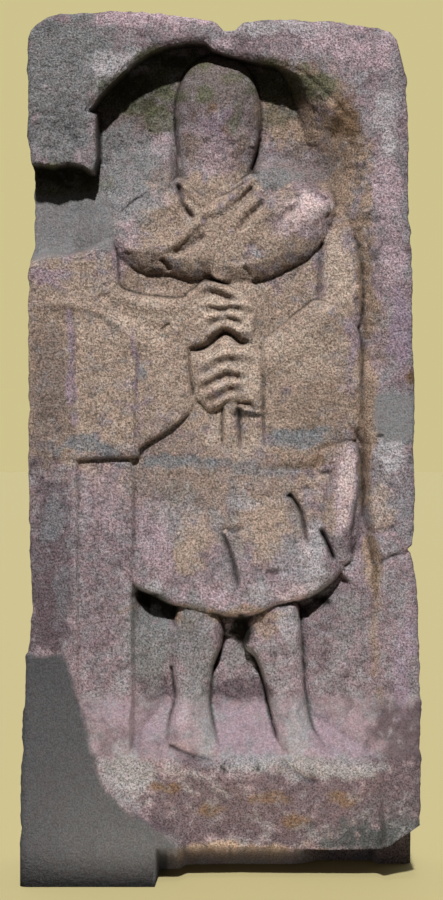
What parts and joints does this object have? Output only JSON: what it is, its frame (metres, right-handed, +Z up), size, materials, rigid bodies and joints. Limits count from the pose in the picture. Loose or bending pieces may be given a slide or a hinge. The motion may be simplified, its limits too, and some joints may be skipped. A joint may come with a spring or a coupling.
{
  "type": "funerary stele",
  "caption": "Upright sandstone gravestone with a hooded figure carved in relief in an arched niche, its corner and foot broken.",
  "frame": {"origin": "on the ground, midway across the block and midway through its greatest thickness", "axes": "+Z up, the carved face towards -Y, +X to the right of someone looking at the carving"},
  "size_m": [0.7149, 0.2722, 1.5529],
  "materials": {
    "sandstone": "coarse worn sandstone, pink, tan and grey, matt"
  },
  "bodies": {
    "root": {"stele": "sandstone"}
  },
  "joints": []
}
